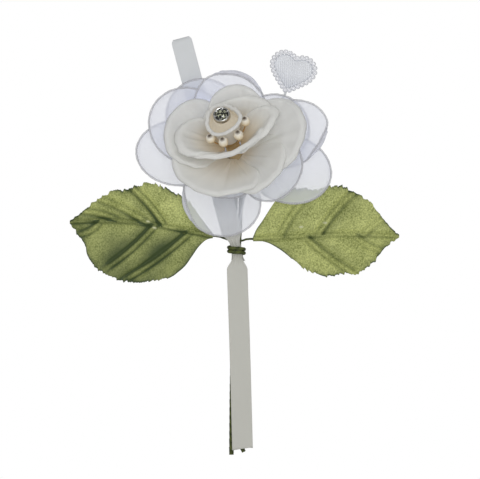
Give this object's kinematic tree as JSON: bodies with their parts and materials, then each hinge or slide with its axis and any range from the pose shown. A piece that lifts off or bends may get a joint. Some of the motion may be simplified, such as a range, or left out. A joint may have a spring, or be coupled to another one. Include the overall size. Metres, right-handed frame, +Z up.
{
  "type": "flower hair clip",
  "caption": "Hair clip with a white fabric rose of sheer and opaque petals, a rhinestone centre, green satin leaves, a ribbon and a beaded heart pick on wrapped stems.",
  "frame": {"origin": "middle of the clip jaw, on the plate's inner gripping face", "axes": "+Z up along the stems with the rose towards the top, +X to the viewer's right as the flower is seen from the front, +Y from the flower towards the hair"},
  "size_m": [0.1598, 0.0603, 0.1998],
  "materials": {
    "organza": "sheer, slightly glossy",
    "edge_thread": "matt thread over fine wire",
    "chiffon": "soft matt",
    "cream_bead": "satin",
    "crystal": "polished, facetted",
    "silver_cup": "bright",
    "foam": "matt",
    "leaf_satin": "satin",
    "stem_tape": "matt, wound",
    "white_tape": "matt, wound",
    "ribbon_satin": "satin",
    "heart_satin": "ribbed satin",
    "pearl": "pearly",
    "felt": "felted",
    "clip_steel": "bright nickel"
  },
  "bodies": {
    "spray": {"sheer_back_petal_1": "organza", "sheer_back_petal_2": "organza", "sheer_back_petal_3": "organza", "sheer_back_petal_4": "organza", "sheer_back_petal_5": "organza", "sheer_front_petal_1": "organza", "sheer_front_petal_2": "organza", "sheer_front_petal_3": "organza", "sheer_front_petal_4": "organza", "sheer_front_petal_5": "organza", "sheer_back_edge_wire_1": "edge_thread", "sheer_back_edge_wire_2": "edge_thread", "sheer_back_edge_wire_3": "edge_thread", "sheer_back_edge_wire_4": "edge_thread", "sheer_back_edge_wire_5": "edge_thread", "sheer_front_edge_wire_1": "edge_thread", "sheer_front_edge_wire_2": "edge_thread", "sheer_front_edge_wire_3": "edge_thread", "sheer_front_edge_wire_4": "edge_thread", "sheer_front_edge_wire_5": "edge_thread", "chiffon_outer_petal_1": "chiffon", "chiffon_outer_petal_2": "chiffon", "chiffon_outer_petal_3": "chiffon", "chiffon_outer_petal_4": "chiffon", "chiffon_outer_petal_5": "chiffon", "chiffon_inner_petal_1": "chiffon", "chiffon_inner_petal_2": "chiffon", "chiffon_inner_petal_3": "chiffon", "chiffon_inner_petal_4": "chiffon", "bud_cup": "chiffon", "stamen_1": "cream_bead", "stamen_2": "cream_bead", "stamen_3": "cream_bead", "stamen_4": "cream_bead", "rose_core": "foam", "rhinestone": "crystal", "rhinestone_setting": "silver_cup", "calyx": "stem_tape", "rose_stem": "stem_tape", "leaf_stem": "stem_tape", "bind_wire": "stem_tape", "ribbon": "ribbon_satin", "felt_pad": "felt", "clip_base": "clip_steel", "clip_pin": "clip_steel", "clip_spring": "clip_steel"},
    "lever": {"clip_lever": "clip_steel"},
    "left_leaf": {"leaf_left": "leaf_satin", "leaf_wire_left": "stem_tape"},
    "right_leaf": {"leaf_right": "leaf_satin", "leaf_wire_right": "stem_tape"},
    "heart_pick": {"heart_body": "heart_satin", "heart_pearls": "pearl", "heart_stem": "white_tape"}
  },
  "joints": [
    {"name": "clip_jaw", "type": "hinge", "parent": "spray", "child": "lever", "pos_m": [0.014, 0.0042, 0], "axis": [0, 0, -1], "range_deg": [0, 24], "stiffness_Nm_per_rad": 0.12, "springref_deg": -28.65, "deforming": ["clip_spring"]},
    {"name": "leaf_left_bend", "type": "hinge", "parent": "spray", "child": "left_leaf", "pos_m": [-0.0022, -0.00215, -0.0495], "axis": [0, 1, 0], "range_deg": [-25, 8]},
    {"name": "leaf_right_bend", "type": "hinge", "parent": "spray", "child": "right_leaf", "pos_m": [0.0008, -0.00215, -0.0495], "axis": [0, 1, 0], "range_deg": [-8, 25]},
    {"name": "heart_pick_sway", "type": "hinge", "parent": "spray", "child": "heart_pick", "pos_m": [-0.00065, -0.0057, -0.052], "axis": [0, 1, 0], "range_deg": [-3.5, 3.5]}
  ]
}
